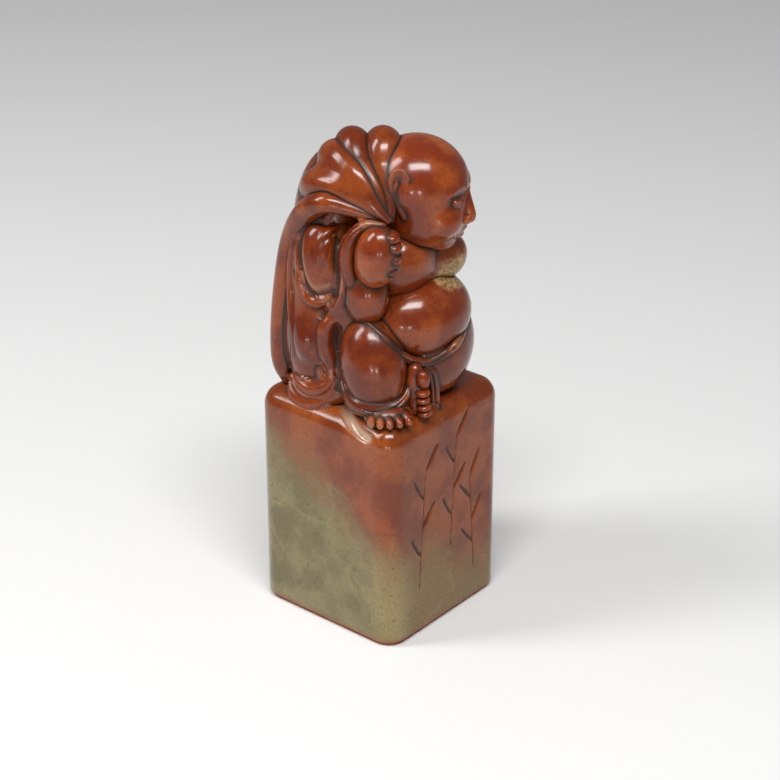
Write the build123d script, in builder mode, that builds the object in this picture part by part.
from build123d import *
from dataclasses import dataclass
from math import cos, pi, radians, sin
import os

os.makedirs("parts", exist_ok=True)

# A seal stamp carved from one column of soft stone, in millimetres.
# The origin is the centre of the printing face, +Z is up, and the figure on top faces -Y.
# The stone is divided into its carved masses, which meet face to face under the carver's grooves.

# Driving sizes of the stone
column_side = 25.0
block_height = 34.3
figure_height = 38.4

# Seal block
block_edge_radius = 3.0
block_shoulder_radius = 3.0
block_foot_radius = 0.4

# Printing face
relief_height = 0.6
border_width = 1.1
border_inset = 0.5
fret_stroke = 1.3
fret_gap = 1.55
fret_middle_gap = 3.4
boss_width = 1.8

# Sprig cut into the front of the block
sprig_depth = 0.3
stem_width = 0.4
leaf_length = 4.2
leaf_width = 0.9
stem_shares = ((-0.50, 0.22, -0.40, 0.76), (0.06, 0.34, 0.14, 0.84), (0.50, 0.16, 0.40, 0.62))
leaf_rise_shares = (0.28, 0.52, 0.76, 1.0)
leaf_angle = 35.0

# Head, sizes as width, depth and height
head_turn = 25.0
skull_size = (13.4, 14.2, 13.2)
skull_place_shares = (0.13, -0.42, 0.797)
jaw_size = (11.8, 12.0, 9.8)
jaw_place_shares = (0.19, -0.50, 0.693)
ear_size = (2.4, 3.8, 5.4)
ear_rise_share = 0.83
lobe_size = (2.0, 2.6, 6.0)
lobe_rise_share = 0.735
right_ear_shares = (-0.41, -0.47)
right_lobe_shares = (-0.35, -0.56)
left_ear_shares = (0.51, -0.06)
left_lobe_shares = (0.55, -0.15)
nose_size = (2.4, 2.6, 3.2)
nose_place_shares = (0.36, -0.88, 0.73)

# Bare front of the body
chest_size = (14.0, 8.8, 12.0)
chest_place_shares = (0.14, -0.18, 0.50)
belly_size = (16.6, 14.2, 12.2)
belly_place_shares = (0.13, -0.42, 0.305)
right_breast_size = (8.8, 7.2, 8.6)
right_breast_place_shares = (-0.12, -0.42, 0.53)
left_breast_size = (7.2, 6.4, 6.6)
left_breast_place_shares = (0.47, -0.52, 0.49)
waistband_proud = 0.7
waistband_width = 2.2
waistband_rise_share = 0.21
waistband_tilt = 14.0

# Right arm, which grips the neck of the sack
right_hand_size = (5.8, 6.4, 8.8)
right_hand_place_shares = (-0.63, -0.49, 0.61)
finger_width = 2.4
finger_place_shares = (
    (-0.51, -0.66, 0.685),
    (-0.50, -0.71, 0.645),
    (-0.50, -0.70, 0.600),
    (-0.51, -0.66, 0.555),
)
right_cuff_size = (5.2, 5.2, 7.0)
right_cuff_place_shares = (-0.51, -0.32, 0.425)

# Left arm, whose hand rests on the knee
left_sleeve_size = (6.6, 8.2, 13.4)
left_sleeve_place_shares = (0.67, 0.0, 0.46)
left_hand_size = (4.0, 5.2, 3.4)
left_hand_place_shares = (0.80, -0.38, 0.29)
left_finger_width = 1.6
left_finger_place_shares = (
    (0.744, -0.592, 0.268),
    (0.800, -0.552, 0.263),
    (0.856, -0.496, 0.255),
    (0.896, -0.424, 0.253),
)

# Right leg, with its knee raised
right_leg_size = (8.6, 9.2, 13.4)
right_leg_place_shares = (-0.60, -0.40, 0.18)
right_leg_turn = (-16.0, 6.0, 0.0)
right_hem_size = (9.8, 9.6, 5.6)
right_hem_place_shares = (-0.54, -0.42, 0.045)
right_foot_size = (6.2, 4.8, 3.4)
right_foot_place_shares = (-0.67, -0.67, 0.02)
foot_turn = -45.0
right_toe_width = 1.7
right_toe_shares = (
    (-0.935, -0.665, 0.015),
    (-0.88, -0.74, 0.015),
    (-0.815, -0.805, 0.015),
    (-0.745, -0.865, 0.015),
    (-0.67, -0.915, 0.015),
)

# Left leg, folded along the ground
left_shin_size = (12.6, 8.6, 12.4)
left_shin_place_shares = (0.21, -0.64, 0.155)
left_thigh_size = (10.0, 11.0, 12.0)
left_thigh_place_shares = (0.51, -0.37, 0.175)
left_hem_size = (2.6, 3.0, 8.6)
left_hem_place_shares = (-0.20, -0.86, 0.075)
left_foot_size = (3.2, 3.0, 8.0)
left_foot_place_shares = (-0.35, -0.79, 0.085)
left_toe_width = 1.5
left_toe_shares = (
    (-0.41, -0.91, 0.150),
    (-0.405, -0.92, 0.115),
    (-0.40, -0.92, 0.082),
    (-0.385, -0.92, 0.050),
    (-0.36, -0.91, 0.018),
)

# Robe on the right side of the figure
robe_left_share = -0.87
robe_front_share = -0.34
robe_back_share = 0.78
robe_top_share = 0.56
robe_corner_radius = 1.6
robe_brow = 2.6
robe_brow_lean = 40.0
robe_parting_shares = ((-1.0, 0.86), (-0.30, -0.24))
fold_width = 1.4
sleeve_fold_shares = (
    ((-0.83, 0.14, 0.66), (-0.87, 0.34, 0.60), (-0.87, 0.36, 0.51)),
    ((-0.86, 0.04, 0.60), (-0.88, 0.14, 0.54), (-0.87, 0.08, 0.46)),
)
sleeve_rib_width = 1.8
sleeve_rib_shares = ((-0.82, -0.10, 0.62), (-0.87, -0.06, 0.50), (-0.84, -0.18, 0.40))
sleeve_rim_width = 1.6
sleeve_rim_shares = ((-0.85, 0.56, 0.47), (-0.88, 0.36, 0.385), (-0.86, 0.06, 0.375))
robe_fold_widths = (3.0, 2.4)
robe_fold_shares = (
    ((-0.80, 0.40, 0.31), (-0.80, 0.26, 0.11)),
    ((-0.80, 0.02, 0.30), (-0.80, 0.05, 0.12)),
)
hem_width = 1.7
hem_shares = (
    ((-0.87, 0.60, 0.10), (-0.90, 0.27, 0.055), (-0.88, -0.02, 0.10)),
    ((-0.88, 0.66, 0.035), (-0.91, 0.27, -0.02), (-0.88, -0.06, 0.04)),
)

# Sack carried over the shoulder, which fills the back of the column and narrows to its top
sack_width = 24.4
sack_front_share = -0.20
sack_corner_radius = 3.4
sack_shoulder_share = 0.52
sack_brow_share = 0.82
sack_lean = 14.0
sack_crown_lean = 42.0
sack_crown_share = 0.95
sack_edge_width = 2.0
sack_edge_shares = ((-0.83, 0.62, 0.60), (-0.87, 0.72, 0.36), (-0.88, 0.64, 0.15))
gather_place_shares = (-0.44, -0.36, 0.71)
flute_widths = (5.2, 5.8, 6.8, 5.0)
flute_end_shares = (
    (0.28, 0.34, 0.955),
    (-0.05, 0.48, 0.945),
    (-0.43, 0.72, 0.835),
    (-0.68, 0.74, 0.71),
)

half_side = column_side / 2

# Facets of the egg-shaped masses: sides around the upright axis, and rings from the lower end up
egg_sides = 16
egg_ring_angles = (-76, -52, -26, 0, 26, 52, 76)


def spot(shares):
    """Place on the figure: shares of the half side across and back, and of the figure's height."""
    across, back, rise = shares
    return Vector(across * half_side, back * half_side, block_height + rise * figure_height)


@dataclass
class Mass:
    """One egg-shaped mass of the carving: the piece it is part of, its full size and its frame."""

    piece: str
    size: tuple
    frame: Plane

    def reach(self, way):
        """Distance from the middle of the mass to its furthest point along a unit vector."""
        axes = (self.frame.x_dir, self.frame.y_dir, self.frame.z_dir)
        return sum((extent / 2 * axis.dot(way)) ** 2 for extent, axis in zip(self.size, axes)) ** 0.5

    def radius(self, way):
        """Distance from the middle of the mass to its surface along a unit vector."""
        axes = (self.frame.x_dir, self.frame.y_dir, self.frame.z_dir)
        return sum((axis.dot(way) / (extent / 2)) ** 2 for extent, axis in zip(self.size, axes)) ** -0.5

    def solid(self):
        """Egg with rings of flat facets between two small flat ends."""
        width, depth, height = (extent / 2 for extent in self.size)
        turns = [2 * pi * number / egg_sides for number in range(egg_sides)]
        with BuildPart() as egg:
            for angle in map(radians, egg_ring_angles):
                ring = [(width * cos(angle) * cos(turn), depth * cos(angle) * sin(turn)) for turn in turns]
                with BuildSketch(self.frame.offset(height * sin(angle))):
                    Polygon(*ring, align=None)
            loft(ruled=True)
        return egg.part


def lump(piece, size, shares, turn=(0, 0, 0)):
    """Mass of a piece at a place on the figure, turned about it."""
    return Mass(piece, size, Plane(Location(spot(shares), turn)))


def bead(piece, width, shares):
    """Round mass of a piece at a place on the figure."""
    return lump(piece, (width, width, width), shares)


def spindle(piece, start, end, width):
    """Mass stretched between two places."""
    run = end - start
    return Mass(piece, (width, width, run.length), Plane(origin=(start + end) * 0.5, z_dir=run))


head_yaw = (0, 0, head_turn)
foot_yaw = (0, 0, foot_turn)
gather = spot(gather_place_shares)
masses = [
    lump("head", skull_size, skull_place_shares, head_yaw),
    lump("head", jaw_size, jaw_place_shares, head_yaw),
    lump("right_ear", ear_size, (*right_ear_shares, ear_rise_share), head_yaw),
    lump("right_ear", lobe_size, (*right_lobe_shares, lobe_rise_share), head_yaw),
    lump("left_ear", ear_size, (*left_ear_shares, ear_rise_share), head_yaw),
    lump("left_ear", lobe_size, (*left_lobe_shares, lobe_rise_share), head_yaw),
    lump("nose", nose_size, nose_place_shares, head_yaw),
    lump("chest", chest_size, chest_place_shares),
    lump("belly", belly_size, belly_place_shares),
    lump("right_breast", right_breast_size, right_breast_place_shares),
    lump("left_breast", left_breast_size, left_breast_place_shares),
    lump("right_hand", right_hand_size, right_hand_place_shares),
    lump("right_cuff", right_cuff_size, right_cuff_place_shares),
    lump("left_sleeve", left_sleeve_size, left_sleeve_place_shares),
    lump("left_hand", left_hand_size, left_hand_place_shares),
    lump("right_leg", right_leg_size, right_leg_place_shares, right_leg_turn),
    lump("right_trouser_hem", right_hem_size, right_hem_place_shares),
    lump("right_foot", right_foot_size, right_foot_place_shares, foot_yaw),
    lump("left_leg", left_shin_size, left_shin_place_shares),
    lump("left_leg", left_thigh_size, left_thigh_place_shares),
    lump("left_trouser_hem", left_hem_size, left_hem_place_shares),
    lump("left_foot", left_foot_size, left_foot_place_shares),
    *(bead("right_fingers", finger_width, shares) for shares in finger_place_shares),
    *(bead("left_fingers", left_finger_width, shares) for shares in left_finger_place_shares),
    *(bead("right_toes", right_toe_width, shares) for shares in right_toe_shares),
    *(bead("left_toes", left_toe_width, shares) for shares in left_toe_shares),
    *(
        spindle(f"sack_flute_{number}", gather, spot(shares), width)
        for number, (width, shares) in enumerate(zip(flute_widths, flute_end_shares), start=1)
    ),
]


def meeting_planes(mass):
    """Flat faces in which a mass meets those of other pieces, square to the line between the middles."""
    planes = []
    for other in masses:
        span = other.frame.origin - mass.frame.origin
        if other.piece == mass.piece or span.length == 0:
            continue
        way = span.normalized()
        if span.length < mass.reach(way) + other.reach(way):
            near, far = mass.radius(way), other.radius(way)
            parting = (span.length**2 + near**2 - far**2) / (2 * span.length)
            planes.append(Plane(origin=mass.frame.origin + way * parting, z_dir=way))
    return planes


def cut_mass(solid, planes):
    """The part of a solid that lies on the inner side of every plane."""
    with BuildPart() as kept:
        add(solid)
        for plane in planes:
            split(bisect_by=plane, keep=Keep.BOTTOM)
    return kept.part


def rounded_fold(places, width):
    """Fold of even thickness along an arc through three places, with round ends."""
    arc = ThreePointArc(*places)
    with BuildPart() as fold:
        with BuildSketch(Plane(origin=arc @ 0, z_dir=arc % 0)):
            Circle(width / 2)
        sweep(path=arc)
        for end in (arc @ 0, arc @ 1):
            with Locations(end):
                Sphere(width / 2)
    return fold.part


carved = []


def boxes_meet(near, far):
    """True where two bounding boxes share some space."""
    lows = zip(tuple(near.min), tuple(far.max))
    highs = zip(tuple(far.min), tuple(near.max))
    return all(low < high for low, high in (*lows, *highs))


def give_way(piece, count=1):
    """Leave the space that the pieces before this one fill, and keep the main bodies of what is left."""
    own_box = piece.part.bounding_box()
    for solid, box in carved:
        if boxes_meet(own_box, box):
            add(solid, mode=Mode.SUBTRACT)
    add(piece.part.solids().sort_by(SortBy.VOLUME)[-count:], mode=Mode.REPLACE)


def finish(piece, name):
    """Label a finished piece, write it out and keep its bodies for the pieces that follow."""
    piece.part.label = name
    carved.extend((solid, solid.bounding_box()) for solid in piece.part.solids())
    export_step(piece.part, f"parts/{name}.step")


# Seal block: a square column with rounded upright edges and soft shoulders
with BuildPart() as seal_block:
    with BuildSketch(Plane.XY.offset(relief_height)):
        RectangleRounded(column_side, column_side, block_edge_radius)
    extrude(amount=block_height - relief_height)
    fillet(seal_block.faces().sort_by(Axis.Z)[-1].edges(), block_shoulder_radius)
    fillet(seal_block.faces().sort_by(Axis.Z)[0].edges(), block_foot_radius)
    # Three stems with leaves on both sides, cut into the front
    front = Plane(origin=(0, -half_side, 0), x_dir=(1, 0, 0), z_dir=(0, -1, 0))
    with BuildSketch(front) as sprig:
        for foot_across, foot_rise, tip_across, tip_rise in stem_shares:
            foot = Vector(foot_across * half_side, foot_rise * block_height)
            tip = Vector(tip_across * half_side, tip_rise * block_height)
            with BuildLine():
                stem = Line(foot, tip)
            with Locations(stem @ 0.5):
                lean = Vector(0, 1).get_signed_angle(tip - foot)
                SlotOverall((tip - foot).length, stem_width, rotation=lean + 90)
            for number, rise_share in enumerate(leaf_rise_shares):
                side = 1 if number % 2 else -1
                root = foot + (tip - foot) * rise_share
                with Locations(root):
                    with PolarLocations(leaf_length / 2, 1, start_angle=90 + lean + side * leaf_angle):
                        Ellipse(leaf_length / 2, leaf_width / 2)
    extrude(amount=-sprig_depth, mode=Mode.SUBTRACT)
finish(seal_block, "seal_block")

# Printing face: a raised square border
border_outer = column_side - 2 * border_inset
border_inner = border_outer - 2 * border_width
with BuildPart() as printing_border:
    with BuildSketch():
        RectangleRounded(border_outer, border_outer, block_edge_radius - border_inset)
        RectangleRounded(
            border_inner, border_inner, block_edge_radius - border_inset - border_width, mode=Mode.SUBTRACT
        )
    extrude(amount=relief_height)
finish(printing_border, "printing_border")

# Printing face: a round boss between four key frets, each one stroke that turns inwards
fret_pitch = fret_stroke + fret_gap
fret_near = (fret_middle_gap + fret_stroke) / 2
fret_far = border_inner / 2 - fret_gap - fret_stroke / 2
fret_turns = ((1, 0), (0, 1), (-1, 0), (0, -1), (1, 0), (0, 1))
with BuildPart() as printing_relief:
    with BuildSketch():
        Circle(boss_width / 2)
    extrude(amount=relief_height)
    for corner in range(4):
        with BuildSketch(Plane.XY.rotated((0, 0, 90 * corner))):
            start = Vector(fret_near, fret_near)
            for number, (across, rise) in enumerate(fret_turns):
                length = fret_far - fret_near - fret_pitch * max(0, (number - 1) // 2)
                stop = start + Vector(across, rise) * length
                with Locations((start + stop) * 0.5):
                    Rectangle(
                        abs(across) * length + fret_stroke, abs(rise) * length + fret_stroke
                    )
                start = stop
        extrude(amount=relief_height)
finish(printing_relief, "printing_relief")

# Masses of the figure, each cut by the flat faces in which it meets its neighbours and by the block
for name in dict.fromkeys(mass.piece for mass in masses):
    bodies = [cut_mass(mass.solid(), meeting_planes(mass)) for mass in masses if mass.piece == name]
    with BuildPart() as mass_piece:
        for body in bodies:
            add(body)
        if mass_piece.part.bounding_box().min.Z < block_height:
            add(seal_block.part, mode=Mode.SUBTRACT)
    finish(mass_piece, name)

# Waistband: a shell around the low part of the belly, on the belly's side of its meeting faces
belly_mass = lump("belly", belly_size, belly_place_shares)
grown_size = tuple(extent + 2 * waistband_proud for extent in belly_size)
grown_belly = lump("belly", grown_size, belly_place_shares).solid()
band_shell = cut_mass(grown_belly, meeting_planes(belly_mass))
band_place = spot((belly_place_shares[0], belly_place_shares[1], waistband_rise_share))
with BuildPart() as waistband:
    add(band_shell)
    with Locations(Location(band_place, (waistband_tilt, 0, 0))):
        Box(column_side, column_side, waistband_width, mode=Mode.INTERSECT)
    give_way(waistband)
finish(waistband, "waistband")

# Folds of the robe and the edge of the sack, which lie proud of the masses behind them
rib_fold = rounded_fold([spot(shares) for shares in sleeve_rib_shares], sleeve_rib_width)
with BuildPart() as sleeve_rib:
    add(rib_fold)
    give_way(sleeve_rib)
finish(sleeve_rib, "sleeve_rib")

rim_fold = rounded_fold([spot(shares) for shares in sleeve_rim_shares], sleeve_rim_width)
with BuildPart() as sleeve_rim:
    add(rim_fold)
    give_way(sleeve_rim)
finish(sleeve_rim, "sleeve_rim")

for place, places_shares in zip(("outer", "inner"), sleeve_fold_shares):
    crease_fold = rounded_fold([spot(shares) for shares in places_shares], fold_width)
    with BuildPart() as sleeve_fold:
        add(crease_fold)
        give_way(sleeve_fold)
    finish(sleeve_fold, f"sleeve_fold_{place}")

for place, places_shares in zip(("upper", "lower"), hem_shares):
    hem_fold = rounded_fold([spot(shares) for shares in places_shares], hem_width)
    with BuildPart() as robe_hem:
        add(hem_fold)
        give_way(robe_hem)
    finish(robe_hem, f"robe_hem_{place}")

for place, width, ends_shares in zip(("back", "front"), robe_fold_widths, robe_fold_shares):
    top, bottom = (spot(shares) for shares in ends_shares)
    with BuildPart() as robe_fold:
        with BuildSketch(Plane(origin=bottom, z_dir=top - bottom)):
            Circle(width / 2)
        extrude(amount=(top - bottom).length)
        for end in (top, bottom):
            with Locations(end):
                Sphere(width / 2)
        give_way(robe_fold)
    finish(robe_fold, f"robe_fold_{place}")

edge_fold = rounded_fold([spot(shares) for shares in sack_edge_shares], sack_edge_width)
with BuildPart() as sack_edge:
    add(edge_fold)
    give_way(sack_edge)
finish(sack_edge, "sack_edge")

# Parting face between the robe in front and the sack behind, upright and set at a slant
parting_start, parting_end = (spot((*shares, 0)) for shares in robe_parting_shares)
parting_run = parting_end - parting_start
robe_parting = Plane(origin=parting_start, z_dir=Vector(parting_run.Y, -parting_run.X, 0))

# Robe: the mass of cloth behind the folds
with BuildPart() as robe:
    robe_width = 2 * -robe_left_share * half_side
    robe_depth = (robe_back_share - robe_front_share) * half_side
    robe_middle = spot((0, (robe_back_share + robe_front_share) / 2, -block_shoulder_radius / figure_height))
    with BuildSketch(Plane(origin=robe_middle)):
        RectangleRounded(robe_width, robe_depth, robe_corner_radius)
    extrude(amount=robe_top_share * figure_height + block_shoulder_radius)
    extrude(robe.faces().sort_by(Axis.Z)[-1], amount=robe_brow, taper=robe_brow_lean)
    split(bisect_by=robe_parting, keep=Keep.TOP)
    give_way(robe)
finish(robe, "robe")

# Sack: upright to the shoulders, then leaning in twice towards its crown
with BuildPart() as sack:
    sack_foot = spot((0, 0, -block_shoulder_radius / figure_height))
    with BuildSketch(Plane(origin=sack_foot)):
        RectangleRounded(sack_width, sack_width, sack_corner_radius)
    extrude(amount=sack_shoulder_share * figure_height + block_shoulder_radius)
    extrude(
        sack.faces().sort_by(Axis.Z)[-1],
        amount=(sack_brow_share - sack_shoulder_share) * figure_height,
        taper=sack_lean,
    )
    extrude(
        sack.faces().sort_by(Axis.Z)[-1],
        amount=(sack_crown_share - sack_brow_share) * figure_height,
        taper=sack_crown_lean,
    )
    split(bisect_by=Plane(origin=spot((0, sack_front_share, 0)), z_dir=(0, 1, 0)), keep=Keep.TOP)
    split(bisect_by=robe_parting, keep=Keep.BOTTOM)
    give_way(sack)
finish(sack, "sack")
